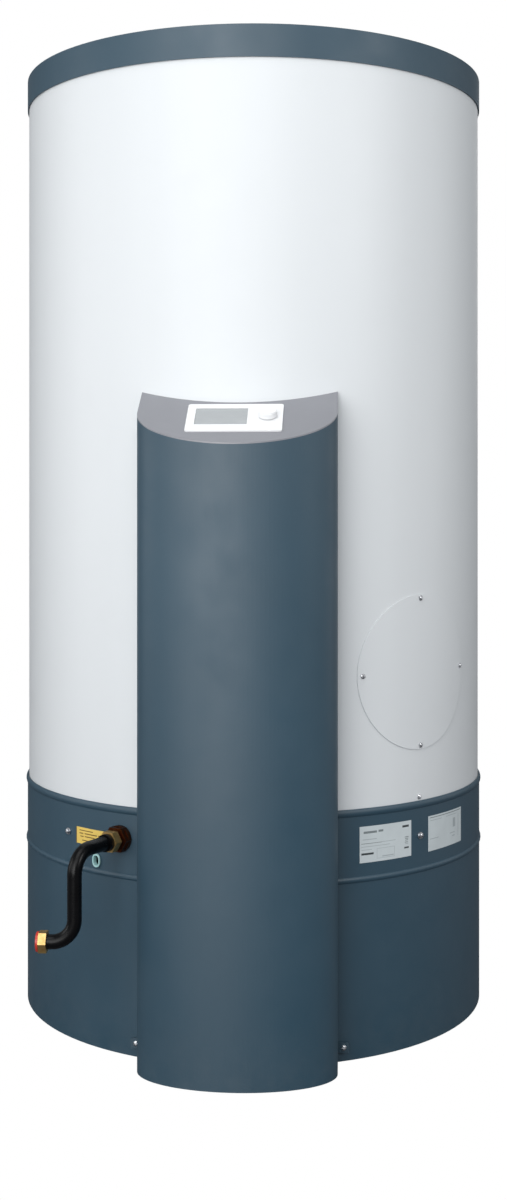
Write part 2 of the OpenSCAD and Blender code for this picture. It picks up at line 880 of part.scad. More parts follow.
module gas_pipe() {
    pipe_end = nut_x - 6;
    color("black") {
        pipe_run([
            polar_point(union_start + 0.3, gas_angle, gas_z),
            gas_corner,
            gas_end,
            [pipe_end, gas_end.y, gas_end_z]
        ], gas_pipe_d, gas_pipe_d - 4);
        translate([pipe_end, gas_end.y, gas_end_z]) rotate([0, 90, 0]) tube(25.6, 20, 1.7);
        on_shell(gas_angle, gas_z) translate([0, 0, union_start + union_w + 0.3])
            tube(collar_d, gas_pipe_d - 1, collar_l);
    }
}

// A frame on the pipe's free end: +Z runs outwards, along -X.
module on_gas_end() {
    translate([nut_x, gas_end.y, gas_end_z]) rotate([0, -90, 0]) children();
}

module gas_end_nut() {
    color("gold") on_gas_end() difference() {
        intersection() {
            rotate([0, 0, 30]) hex(nut_af, end_nut_w);
            translate([0, 0, end_nut_w / 2]) sphere(d = nut_af * nut_round, $fn = 48);
        }
        translate([0, 0, -1]) cylinder(d = gas_pipe_d + 3 * running_gap, h = 20);
        translate([0, 0, 4]) cylinder(d = 26.4, h = 20);
    }
}

module gas_cap() {
    color("firebrick") on_gas_end() {
        translate([0, 0, end_nut_w + 0.3]) cylinder(d = 30, h = cap_t);
        translate([0, 0, end_nut_w - 4.5]) tube(25.6, 20, 5);
    }
}

// Front cover and console -----------------------------------------------------------

module cover_plan(inset) {
    w = cover_half_w - inset;
    d = cover_bulge - inset;
    polygon(concat(
        [[-w, -310]],
        [for (i = [0:72]) let (a = 180 + i * 2.5) [w * cos(a), -cover_wide_y + d * sin(a)]],
        [[w, -310]]));
}

// Everything under the console's plane, moved along its normal by an offset.
module below_console(lift) {
    on_console() translate([-400, -900, lift - 2000]) cube([800, 1900, 2000]);
}

module cover_block(inset, lift) {
    intersection() {
        linear_extrude(1200) cover_plan(inset);
        below_console(lift);
    }
}

// The casing's envelope, which the cover's rear edges follow.
module casing_space(gap) {
    translate([0, 0, -1]) cylinder(r = base_r + gap, h = base_h + 1, $fn = 180);
    cylinder(r = jacket_r + gap, h = far, $fn = 180);
    for (z = [base_h - 13, bead_z - 7])
        translate([0, 0, z]) cylinder(r = bead_r + gap, h = 14, $fn = 180);
}

module front_cover() {
    color("darkslategray") {
        difference() {
            cover_block(0, -panel_t - panel_gap);
            cover_block(sheet_t, -panel_t - panel_gap - sheet_t);
            linear_extrude(1300) cover_plan(rim_w);
            casing_space(0.6);
            translate([-300, -600, -1]) cube([600, 400, 2.5]);
        }
        for (side = [-1, 1])
            difference() {
                translate([side * (cover_half_w + 8) - 9, tab_front_y(), 15]) cube([18, 1.5, 16]);
                cover_screw_places() translate([0, 0, -5]) cylinder(d = 4.4, h = 10, $fn = 24);
            }
    }
}

module cover_screws() {
    color("silver") cover_screw_places() translate([0, 0, 0.1]) pan_screw(8, 3, 4, 14);
}

module console_panel() {
    color("slategray") difference() {
        union() {
            difference() {
                cover_block(0, 0);
                below_console(-panel_t);
            }
            intersection() {
                difference() {
                    cover_block(rim_w + 1, 0);
                    below_console(-22);
                }
                cylinder(r = jacket_r + 2.2, h = far, $fn = 180);
            }
        }
        cylinder(r = jacket_r + 0.7, h = far, $fn = 180);
        on_console() translate([box_x[0] - 1, box_y[0] - 1, -20])
            cube([box_x[1] - box_x[0] + 2, box_y[1] - box_y[0] + 2, 40]);
    }
}

module rounded_plate(w, l, h, r) {
    linear_extrude(h) {
        translate([r, 0]) square([w - 2 * r, l]);
        translate([0, r]) square([w, l - 2 * r]);
        for (x = [r, w - r], y = [r, l - r]) translate([x, y]) circle(r = r, $fn = 32);
    }
}

module control_bezel() {
    color("white") on_console() difference() {
        union() {
            translate([bezel_x, bezel_y, 0]) rounded_plate(bezel_w, bezel_l, bezel_top, 4);
            translate([box_x[0], box_y[0], -panel_t])
                cube([box_x[1] - box_x[0], box_y[1] - box_y[0], panel_t + bezel_top / 2]);
        }
        translate([window_x, window_y, -0.3]) cube([window_w, window_l, 20]);
        translate([window_x + window_ledge, window_y + window_ledge, -10])
            cube([window_w - 2 * window_ledge, window_l - 2 * window_ledge, 20]);
        translate([knob_x, knob_y, -10]) cylinder(d = 11, h = 30);
        translate([knob_x - 1.5, bezel_y - 1, bezel_top - 1]) cube([7, 3, 3]);
    }
}

module display_window() {
    color("lightgray") on_console() translate([window_x + 0.2, window_y + 0.2, -0.3])
        cube([window_w - 0.4, window_l - 0.4, bezel_top - 0.5]);
}

module display_module() {
    depth = 9;
    color("darkgray") on_console() translate([window_x + 0.5, window_y, -depth])
        cube([window_w - 1, window_l - 1, depth - panel_t - 0.2]);
}

module control_box() {
    wall = 2;
    color("dimgray") on_console() difference() {
        translate([box_x[0], box_y[0], -box_depth])
            cube([box_x[1] - box_x[0], box_y[1] - box_y[0], box_depth - panel_t - 0.1]);
        translate([box_x[0] + wall, box_y[0] + wall, -box_depth + wall])
            cube([box_x[1] - box_x[0] - 2 * wall, box_y[1] - box_y[0] - 2 * wall, box_depth]);
    }
}

module circuit_board() {
    color("seagreen") on_console() difference() {
        union() {
            translate([box_x[0] + 3, box_y[0] + 3, -21.9])
                cube([box_x[1] - box_x[0] - 6, box_y[1] - box_y[0] - 6, 1.6]);
            translate([knob_x - 6.5, knob_y - 6.5, -21]) cube([13, 13, 9]);
            for (x = [-50:20:10]) translate([x, box_y[0] + 14, -21]) cube([12, 9, 4]);
        }
        translate([knob_x, knob_y, -20.2]) cylinder(d = encoder_d + 2 * running_gap, h = 20);
    }
}

module encoder_shaft() {
    color("silver") on_console() translate([knob_x, knob_y, -19.5])
        cylinder(d = encoder_d, h = 19.5 + knob_base + knob_h - 4.2);
}

module control_knob() {
    color("white") on_console() translate([knob_x, knob_y, knob_base]) difference() {
        union() {
            cylinder(d = knob_d, h = knob_h - 1.5);
            cylinder(d = knob_d - 2.4, h = knob_h);
        }
        translate([0, 0, -1]) cylinder(d = encoder_d + 2 * running_gap, h = knob_h - 1);
        translate([knob_d * 0.3, -1, knob_h + 2.6]) sphere(d = 8, $fn = 32);
    }
}

// Labels and trim ---------------------------------------------------------------------

module rating_labels() {
    color("lightgray") {
        arc_plate(base_r + label_gap, label_t, [27.7, 42.1], label_z);
        arc_plate(base_r + label_gap, label_t, [47.9, 62.5], label_z);
    }
}

module gas_label() {
    color("gold") arc_plate(base_r + label_gap, label_t, [-42, -32.5], [315, 341]);
}

module cable_grommet() {
    color("paleturquoise") on_shell(grommet_angle, grommet_z) translate([0, 0, base_r - 4])
        difference() {
            union() {
                linear_extrude(7) grommet_outline(-1.8);
                translate([0, 0, 4.8]) linear_extrude(2.2) grommet_outline(0);
            }
            translate([0, 0, -1]) linear_extrude(20) grommet_outline(-2.6);
        }
}

base_plate();
support_frame();
base_shell();
base_screws();
tank_vessel();
combustion_chamber();
smoke_coil();
flue_collector();
flue_outlet();
condensate_pipe();
condensate_siphon();
drain_pipe();
drain_valve();
drain_lever();
anode_rod();
sensor_pocket();
cold_inlet();
hot_outlet();
insulation_left();
insulation_right();
top_insulation();
jacket();
jacket_seam();
jacket_screws();
lid();
hatch_cover();
hatch_plug();
hatch_screws();
inspection_gasket();
inspection_flange();
inspection_bolts();
burner_gasket();
burner_door();
burner_bolts();
burner_tube();
igniter();
fan_housing();
fan_impeller();
fan_motor();
mixing_tube();
gas_valve();
gas_inner_pipe();
gas_bulkhead();
gas_union_nut();
gas_pipe();
gas_end_nut();
gas_cap();
front_cover();
cover_screws();
console_panel();
control_bezel();
display_window();
display_module();
control_box();
circuit_board();
encoder_shaft();
control_knob();
rating_labels();
gas_label();
cable_grommet();
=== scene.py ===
"""A free-standing gas storage water heater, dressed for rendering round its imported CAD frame.

Everything is in metres in the frame's own axes: +Z up, the front towards -Y. Only the camera's sensor
and focal length are in millimetres.
"""
import json
import math

import bmesh
import bpy
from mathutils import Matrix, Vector


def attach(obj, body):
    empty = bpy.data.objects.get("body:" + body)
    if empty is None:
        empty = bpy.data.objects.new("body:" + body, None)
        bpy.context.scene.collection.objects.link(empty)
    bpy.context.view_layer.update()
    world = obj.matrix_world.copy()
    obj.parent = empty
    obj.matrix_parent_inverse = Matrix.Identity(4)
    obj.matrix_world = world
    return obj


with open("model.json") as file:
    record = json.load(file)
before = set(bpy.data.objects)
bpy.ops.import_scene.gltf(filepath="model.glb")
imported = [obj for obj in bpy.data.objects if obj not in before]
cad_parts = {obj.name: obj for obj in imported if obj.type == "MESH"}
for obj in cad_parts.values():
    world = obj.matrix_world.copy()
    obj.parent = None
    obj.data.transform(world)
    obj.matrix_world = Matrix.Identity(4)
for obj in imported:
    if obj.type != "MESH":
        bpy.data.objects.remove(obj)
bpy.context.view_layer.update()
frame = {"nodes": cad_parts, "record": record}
nodes = frame["nodes"]
scene = bpy.context.scene

# ---------------------------------------------------------------- camera

EYE_HEIGHT = 0.871
EYE_DISTANCE = 2.737
EYE_AZIMUTH = math.radians(3.35)
SENSOR_WIDTH = 36.0
FOCAL_LENGTH = 46.25
VERTICAL_SHIFT = -0.0887
FARTHEST_SEEN = 200.0


def make_camera():
    """A level camera aimed at the tank's axis; the shift sets how high the heater stands in the picture."""
    data = bpy.data.cameras.new("camera")
    data.sensor_width = SENSOR_WIDTH
    data.lens = FOCAL_LENGTH
    data.shift_y = VERTICAL_SHIFT
    data.clip_end = FARTHEST_SEEN
    camera = bpy.data.objects.new("camera", data)
    camera.location = (
        EYE_DISTANCE * math.sin(EYE_AZIMUTH),
        -EYE_DISTANCE * math.cos(EYE_AZIMUTH),
        EYE_HEIGHT,
    )
    camera.rotation_euler = (math.radians(90), 0, EYE_AZIMUTH)
    scene.collection.objects.link(camera)
    scene.camera = camera


make_camera()

# ---------------------------------------------------------------- material tools

# Nearly all of a noise node's output lies between these two.
NOISE_LOW = 0.3
NOISE_HIGH = 0.7


class Mat:
    """A Principled material with short names for the nodes that these finishes share."""

    def __init__(self, name):
        self.mat = bpy.data.materials.new(name)
        self.mat.use_nodes = True
        self.tree = self.mat.node_tree
        self.shader = self.tree.nodes["Principled BSDF"]
        self.coord = self.tree.nodes.new("ShaderNodeTexCoord").outputs["Object"]

    def link(self, source, socket):
        self.tree.links.new(source, socket)

    def set(self, **values):
        for name, value in values.items():
            self.shader.inputs[name.replace("_", " ")].default_value = value

    def stretched(self, x=1.0, y=1.0, z=1.0):
        node = self.tree.nodes.new("ShaderNodeMapping")
        node.inputs["Scale"].default_value = (x, y, z)
        self.link(self.coord, node.inputs["Vector"])
        return node.outputs["Vector"]

    def noise(self, scale, detail=4.0, rough=0.55, vector=None):
        node = self.tree.nodes.new("ShaderNodeTexNoise")
        node.inputs["Scale"].default_value = scale
        node.inputs["Detail"].default_value = detail
        node.inputs["Roughness"].default_value = rough
        self.link(vector or self.coord, node.inputs["Vector"])
        return node.outputs["Fac"]

    def cells(self, scale, feature="F1"):
        node = self.tree.nodes.new("ShaderNodeTexVoronoi")
        node.feature = feature
        node.inputs["Scale"].default_value = scale
        self.link(self.coord, node.inputs["Vector"])
        return node.outputs["Distance"]

    def remap(self, value, low, high, to_low=0.0, to_high=1.0):
        node = self.tree.nodes.new("ShaderNodeMapRange")
        for socket, number in zip(("From Min", "From Max", "To Min", "To Max"), (low, high, to_low, to_high)):
            node.inputs[socket].default_value = number
        self.link(value, node.inputs["Value"])
        return node.outputs["Result"]

    def cloud(self, scale, detail, low=0.0, high=1.0):
        """Soft patches of noise that run from low to high."""
        return self.remap(self.noise(scale, detail), NOISE_LOW, NOISE_HIGH, low, high)

    def math(self, kind, a, b):
        """Sum or product of an output and either a number or another output."""
        node = self.tree.nodes.new("ShaderNodeMath")
        node.operation = kind
        for socket, value in zip(node.inputs, (a, b)):
            if isinstance(value, (int, float)):
                socket.default_value = value
            else:
                self.link(value, socket)
        return node.outputs["Value"]

    def axis(self, letter):
        node = self.tree.nodes.new("ShaderNodeSeparateXYZ")
        self.link(self.coord, node.inputs["Vector"])
        return node.outputs[letter]

    def mix(self, mask, low, high):
        """A colour between two, each a tuple or another node's output."""
        node = self.tree.nodes.new("ShaderNodeMix")
        node.data_type = "RGBA"
        self.link(mask, node.inputs["Factor"])
        for socket, value in ((node.inputs["A"], low), (node.inputs["B"], high)):
            if isinstance(value, tuple):
                socket.default_value = (*value, 1.0)
            else:
                self.link(value, socket)
        return node.outputs["Result"]

    def colour(self, value):
        self.link(value, self.shader.inputs["Base Color"])

    def roughness(self, value):
        self.link(value, self.shader.inputs["Roughness"])

    def bump(self, *layers):
        """Each layer is (height, strength, depth in metres); they add up."""
        previous = None
        for height, strength, depth in layers:
            node = self.tree.nodes.new("ShaderNodeBump")
            node.inputs["Strength"].default_value = strength
            node.inputs["Distance"].default_value = depth
            self.link(height, node.inputs["Height"])
            if previous:
                self.link(previous, node.inputs["Normal"])
            previous = node.outputs["Normal"]
        self.link(previous, self.shader.inputs["Normal"])


def shade(colour, factor):
    """A lighter or darker tone of a colour."""
    return tuple(min(1.0, c * factor) for c in colour)


# ---------------------------------------------------------------- finishes

# Dust settles on the lowest paint, up to this height.
DUST_COLOUR = (0.20, 0.20, 0.19)
DUST_TOP = 0.10


def powder_coat(name, colour, rough, dust=0.06):
    """Baked paint on sheet steel: fine orange peel, faint cloudiness, a trace of dust near the floor."""
    m = Mat(name)
    cloud = m.cloud(2.6, 5.0)
    base = m.mix(cloud, shade(colour, 0.92), shade(colour, 1.07))
    speck = m.remap(m.noise(520.0, 2.0), 0.66, 0.74)
    base = m.mix(m.math("MULTIPLY", speck, 0.10), base, shade(colour, 1.9))
    near_floor = m.remap(m.axis("Z"), 0.0, DUST_TOP, 1.0, 0.0)
    dusty = m.math("MULTIPLY", near_floor, m.remap(m.noise(38.0, 6.0, 0.7), 0.42, 0.72, 0.0, dust))
    base = m.mix(dusty, base, DUST_COLOUR)
    scuff = m.remap(m.noise(9.0, 7.0, 0.65, m.stretched(5.0, 5.0, 0.5)), 0.70, 0.74, 0.0, 0.05)
    m.colour(m.mix(scuff, base, shade(colour, 1.6)))
    finish = m.cloud(14.0, 5.0, rough - 0.05, rough + 0.06)
    m.roughness(m.math("ADD", finish, m.math("MULTIPLY", dusty, 0.6)))
    m.bump((m.noise(820.0, 2.0), 0.125, 0.00012), (m.noise(6.0, 2.0), 0.05, 0.002))
    m.set(Specular_IOR_Level=1.0)
    return m.mat


def jacket_paint():
    """Satin white coil-coated sheet with the faint vertical ripple of rolling; the ripple's light and shade
    are also painted into the colour.
    """
    colour = (0.725, 0.755, 0.775)
    m = Mat("jacket_white")
    ripple = m.noise(7.0, 3.0, 0.5, m.stretched(1.0, 1.0, 0.04))
    # Painted shading: the white is made a little lighter and darker along the ripple.
    base = m.mix(m.remap(ripple, 0.35, 0.65), shade(colour, 0.985), shade(colour, 1.01))
    grime = m.remap(m.noise(11.0, 7.0, 0.65), 0.55, 0.80, 0.0, 0.05)
    m.colour(m.mix(grime, base, (0.52, 0.53, 0.52)))
    m.roughness(m.cloud(18.0, 5.0, 0.44, 0.52))
    m.bump((ripple, 0.10, 0.004), (m.noise(900.0, 2.0), 0.07, 0.0001))
    m.set(Coat_Weight=0.05, Coat_Roughness=0.40)
    return m.mat


def bare_metal(name, colour, rough, grain=(1.0, 1.0, 1.0), spots=0.25, stain=None):
    """Plated or machined metal: fine directional grain, patches of dulling, small spots."""
    m = Mat(name)
    m.set(Metallic=1.0)
    fine = m.noise(650.0, 3.0, 0.6, m.stretched(*grain))
    patch = m.remap(m.noise(45.0, 6.0, 0.65), 0.35, 0.70)
    base = m.mix(patch, shade(colour, 1.06), stain or shade(colour, 0.72))
    spot = m.remap(m.noise(260.0, 4.0), 0.62, 0.72, 0.0, spots)
    m.colour(m.mix(spot, base, shade(colour, 0.45)))
    finish = m.remap(fine, NOISE_LOW, NOISE_HIGH, rough - 0.05, rough + 0.07)
    m.roughness(m.math("ADD", finish, m.math("MULTIPLY", patch, 0.12)))
    m.bump((fine, 0.20, 0.00008), (m.noise(120.0, 4.0), 0.12, 0.0002))
    return m.mat


def galvanised():
    """Zinc sheet with its crystal pattern."""
    m = Mat("galvanised_sheet")
    m.set(Metallic=1.0)
    spangle = m.cells(95.0)
    m.colour(m.mix(m.remap(spangle, 0.0, 0.8), (0.42, 0.44, 0.45), (0.64, 0.66, 0.67)))
    m.roughness(m.remap(spangle, 0.0, 0.8, 0.30, 0.50))
    m.bump((spangle, 0.08, 0.0001))
    return m.mat


def primer():
    """Matt black primer over welded plate, with rolling marks and a little rust bloom."""
    m = Mat("tank_primer")
    base = m.mix(m.remap(m.noise(12.0, 6.0), 0.35, 0.7), (0.035, 0.038, 0.042), (0.085, 0.088, 0.092))
    rust = m.remap(m.noise(26.0, 8.0, 0.7), 0.66, 0.78, 0.0, 0.55)
    m.colour(m.mix(rust, base, (0.20, 0.085, 0.035)))
    m.roughness(m.cloud(80.0, 4.0, 0.50, 0.72))
    m.bump((m.noise(300.0, 4.0), 0.3, 0.0003), (m.noise(18.0, 3.0), 0.15, 0.001))
    return m.mat


def pipe_paint():
    """Thick semi-gloss black paint on steel pipe, with soft runs and small scratches."""
    m = Mat("pipe_black")
    worn = m.remap(m.noise(60.0, 8.0, 0.7), 0.70, 0.76, 0.0, 0.5)
    base = m.mix(m.cloud(30.0, 4.0), (0.0010, 0.0010, 0.0013), (0.0022, 0.0022, 0.0028))
    m.colour(m.mix(worn, base, (0.020, 0.018, 0.016)))
    m.roughness(m.cloud(90.0, 5.0, 0.24, 0.36))
    m.bump((m.noise(70.0, 3.0), 0.15, 0.0005), (m.noise(700.0, 2.0), 0.10, 0.0001))
    m.set(Specular_IOR_Level=0.20)
    return m.mat


def plastic(name, colour, rough, grain=1600.0, depth=0.00006, strength=0.35):
    """Moulded plastic: spark-eroded grain, faint flow shading and handling marks."""
    m = Mat(name)
    flow = m.cloud(20.0, 3.0)
    base = m.mix(flow, shade(colour, 0.96), shade(colour, 1.03))
    mark = m.remap(m.noise(75.0, 7.0, 0.7), 0.66, 0.78, 0.0, 0.10)
    m.colour(m.mix(mark, base, shade(colour, 0.70)))
    m.roughness(m.cloud(130.0, 4.0, rough - 0.05, rough + 0.06))
    m.bump((m.noise(grain, 2.0), strength, depth))
    return m.mat


def foam():
    """Rigid yellow foam: cell pores on a slightly uneven cut face, with painted shade in the pores."""
    m = Mat("insulation_foam")
    pores = m.cells(420.0)
    tone = m.mix(m.cloud(9.0, 5.0), (0.62, 0.53, 0.28), (0.80, 0.72, 0.44))
    # Painted shade: each pore's centre is darkened.
    m.colour(m.mix(m.remap(pores, 0.0, 0.28, 0.45, 0.0), tone, (0.34, 0.27, 0.12)))
    m.roughness(m.cloud(60.0, 4.0, 0.80, 0.95))
    m.bump((pores, 0.6, 0.0008), (m.noise(24.0, 5.0), 0.3, 0.003))
    return m.mat


def rubber(name, colour):
    """Matt rubber with a pale bloom."""
    m = Mat(name)
    bloom = m.remap(m.noise(50.0, 6.0), 0.45, 0.75, 0.0, 0.35)
    m.colour(m.mix(bloom, colour, shade(colour, 2.2)))
    m.roughness(m.cloud(200.0, 3.0, 0.55, 0.75))
    m.bump((m.noise(900.0, 3.0), 0.3, 0.0001))
    return m.mat


def cast_alloy():
    """Die-cast aluminium: fine pebbled skin with parting stains."""
    m = Mat("cast_alloy")
    m.set(Metallic=0.9)
    patch = m.remap(m.noise(30.0, 6.0), 0.35, 0.7)
    m.colour(m.mix(patch, (0.60, 0.61, 0.62), (0.42, 0.43, 0.44)))
    m.roughness(m.cloud(240.0, 4.0, 0.42, 0.60))
    m.bump((m.noise(700.0, 3.0), 0.45, 0.0002), (m.cells(300.0), 0.15, 0.0002))
    return m.mat


def label_film(name, colour):
    """Matt printed film with slight bubbles and handling."""
    m = Mat(name)
    m.colour(m.mix(m.cloud(35.0, 5.0), shade(colour, 0.95), shade(colour, 1.03)))
    m.roughness(m.cloud(120.0, 4.0, 0.40, 0.53))
    m.bump((m.noise(90.0, 3.0), 0.10, 0.0003))
    return m.mat


def ceramic():
    """Glazed porcelain, slightly stained."""
    m = Mat("igniter_ceramic")
    m.colour(m.mix(m.remap(m.noise(90.0, 4.0), 0.4, 0.8), (0.82, 0.80, 0.75), (0.62, 0.58, 0.52)))
    m.roughness(m.cloud(200.0, 3.0, 0.12, 0.24))
    m.bump((m.noise(300.0, 2.0), 0.08, 0.0001))
    m.set(Coat_Weight=0.6, Coat_Roughness=0.1)
    return m.mat


def circuit():
    """Green solder mask over a grid of faint copper tracks."""
    m = Mat("circuit_board")
    track = m.remap(m.cells(240.0, "DISTANCE_TO_EDGE"), 0.02, 0.06, 1.0, 0.0)
    m.colour(m.mix(track, (0.010, 0.11, 0.045), (0.05, 0.22, 0.09)))
    m.roughness(m.remap(track, 0.0, 1.0, 0.30, 0.42))
    m.bump((track, 0.4, 0.0001))
    return m.mat


def display_glass(name="display_glass"):
    """A blank grey display: even film under glossy acrylic, with faint smears."""
    m = Mat(name)
    smear = m.remap(m.noise(40.0, 6.0, 0.6, m.stretched(0.4, 1.0, 1.0)), 0.40, 0.75)
    m.colour(m.mix(smear, (0.34, 0.36, 0.37), (0.39, 0.41, 0.42)))
    m.roughness(m.remap(smear, 0.0, 1.0, 0.10, 0.24))
    m.bump((m.noise(500.0, 2.0), 0.03, 0.00005))
    m.set(Coat_Weight=0.5, Coat_Roughness=0.06)
    return m.mat


FINISH = {
    "dark_paint": powder_coat("dark_powder_coat", (0.009, 0.049, 0.082), 0.54),
    # Painted sheen: this light grey stands in for the dark paint's reflection of the light from above.
    "console_paint": powder_coat("console_coat_painted_sheen", (0.22, 0.225, 0.25), 0.42, dust=0.0),
    "white_paint": jacket_paint(),
    "zinc_steel": bare_metal("zinc_plate", (0.80, 0.81, 0.83), 0.22, spots=0.15, stain=(0.40, 0.41, 0.43)),
    "stainless": bare_metal("stainless", (0.58, 0.57, 0.55), 0.28, (0.06, 1.0, 1.0)),
    "galvanised": galvanised(),
    "tank_steel": primer(),
    "black_steel": pipe_paint(),
    "brass": bare_metal("brass", (0.66, 0.47, 0.20), 0.36, spots=0.35, stain=(0.50, 0.29, 0.09)),
    "dark_brass": bare_metal(
        "tarnished_brass", (0.10, 0.034, 0.012), 0.34, spots=0.5, stain=(0.035, 0.006, 0.004)
    ),
    "magnesium": bare_metal("magnesium", (0.50, 0.51, 0.52), 0.52, spots=0.5),
    "cast_alloy": cast_alloy(),
    "red_plastic": plastic("red_plastic", (0.55, 0.035, 0.02), 0.32),
    "white_plastic": plastic("white_plastic", (0.84, 0.85, 0.86), 0.34),
    "grey_plastic": plastic("grey_plastic", (0.30, 0.31, 0.32), 0.48),
    "black_plastic": plastic("black_plastic", (0.022, 0.022, 0.024), 0.50, 900.0, 0.0001, 0.5),
    "clear_window": display_glass(),
    "display": display_glass("display_film"),
    "board": circuit(),
    "foam": foam(),
    "rubber": rubber("black_rubber", (0.020, 0.020, 0.021)),
    "pale_rubber": rubber("pale_rubber", (0.36, 0.62, 0.62)),
    "ceramic": ceramic(),
    "label_paper": label_film("label_film", (0.60, 0.66, 0.68)),
    "yellow_label": label_film("yellow_film", (0.78, 0.56, 0.13)),
}
INK_ROUGHNESS = 0.5
INK = {
    "dark": plastic("dark_ink", (0.045, 0.055, 0.060), INK_ROUGHNESS),
    "grey": plastic("grey_ink", (0.20, 0.235, 0.245), INK_ROUGHNESS),
    "pale": plastic("pale_ink", (0.40, 0.45, 0.47), INK_ROUGHNESS),
    "brown": plastic("brown_ink", (0.16, 0.085, 0.015), INK_ROUGHNESS),
}

SLOT = {part["node"]: part["material_slot"] for part in frame["record"]["subparts"]}

# ---------------------------------------------------------------- CAD nodes

SMOOTH_ANGLE = math.radians(32)
ROUNDED_ANGLE = math.radians(40)
ROUNDED_SEGMENTS = 2
# How far each node's sharp edges are rounded.
ROUNDED = {
    "lid": 0.0012, "base_shell": 0.0004, "console_panel": 0.0005, "front_cover": 0.0004,
    "control_bezel": 0.0006, "control_knob": 0.0007, "gas_valve": 0.0015, "control_box": 0.0008,
    "gas_bulkhead": 0.0006, "fan_motor": 0.0012, "burner_door": 0.0008, "fan_housing": 0.0008,
    "drain_valve": 0.0005, "drain_lever": 0.0008, "condensate_siphon": 0.001, "gas_cap": 0.0006,
    "inspection_flange": 0.0008, "anode_rod": 0.0008,
}


def dress_cad():
    """Every CAD node gets its slot's finish, smooth faces with crisp edges, and softened edges if listed."""
    for name, obj in nodes.items():
        obj.data.materials.clear()
        obj.data.materials.append(FINISH[SLOT[name]])
        for face in obj.data.polygons:
            face.use_smooth = True
            face.material_index = 0
        if name in ROUNDED:
            bevel = obj.modifiers.new("rounded_edges", "BEVEL")
            bevel.width = ROUNDED[name]
            bevel.segments = ROUNDED_SEGMENTS
            bevel.limit_method = "ANGLE"
            bevel.angle_limit = ROUNDED_ANGLE
        split = obj.modifiers.new("crisp_edges", "EDGE_SPLIT")
        split.split_angle = SMOOTH_ANGLE


dress_cad()

# ---------------------------------------------------------------- printed pieces

# The ink's underside and top above the label, and the longest stretch of a bar, in degrees, left flat.
INK_LIFT = 0.00002
INK_TOP = 0.00008
FLAT_STRETCH = 0.7
# The data plate and the notice share a node; each lies between two of these angles from the front.
DATA_PLATE_SIDES = (20.0, 45.0)
NOTICE_SIDES = (45.0, 70.0)


def label_span(name, low=-180.0, high=180.0):
    """Where a curved label lies: outer radius, first and last angle from the front, bottom and top."""
    points = [nodes[name].matrix_world @ v.co for v in nodes[name].data.vertices]
    turned = [(math.degrees(math.atan2(p.x, -p.y)), p) for p in points]
    mine = [(angle, p) for angle, p in turned if low < angle < high]
    radius = max(math.hypot(p.x, p.y) for angle, p in mine)
    angles = [angle for angle, p in mine]
    heights = [p.z for angle, p in mine]
    return radius, min(angles), max(angles), min(heights), max(heights)


def add_mark(bm, span, mark, material):
    """One thin bar of ink on a curved label; its sides are shares of the label's width and height."""
    radius, first, last, bottom, top = span
    left, right, low, high = mark
    steps = max(2, int((right - left) * (last - first) / FLAT_STRETCH) + 1)
    rings = []
    for i in range(steps + 1):
        angle = math.radians(first + (last - first) * (left + (right - left) * i / steps))
        corners = []
        for r, share in ((INK_LIFT, low), (INK_TOP, low), (INK_TOP, high), (INK_LIFT, high)):
            z = bottom + (top - bottom) * share
            place = ((radius + r) * math.sin(angle), -(radius + r) * math.cos(angle), z)
            corners.append(bm.verts.new(place))
        rings.append(corners)
    faces = [rings[0], rings[-1][::-1]]
    for a, b in zip(rings, rings[1:]):
        faces += [(a[k], a[(k + 1) % 4], b[(k + 1) % 4], b[k]) for k in range(4)]
    for corners in faces:
        bm.faces.new(corners).material_index = material


def print_label(name, span, marks):
    """The ink on one label, as plain bars: marks is a list of (ink, left, right, low, high)."""
    inks = sorted({mark[0] for mark in marks})
    bm = bmesh.new()
    for ink, *sides in marks:
        add_mark(bm, span, sides, inks.index(ink))
    bmesh.ops.recalc_face_normals(bm, faces=bm.faces)
    mesh = bpy.data.meshes.new(name)
    bm.to_mesh(mesh)
    bm.free()
    for ink in inks:
        mesh.materials.append(INK[ink])
    obj = bpy.data.objects.new(name, mesh)
    scene.collection.objects.link(obj)
    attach(obj, "appliance")


def outline(ink, left, right, low, high, across, up):
    """The four bars of a rectangular frame, with line widths across and up."""
    return [
        (ink, left, left + across, low, high),
        (ink, right - across, right, low, high),
        (ink, left + across, right - across, low, low + up),
        (ink, left + across, right - across, high - up, high),
    ]


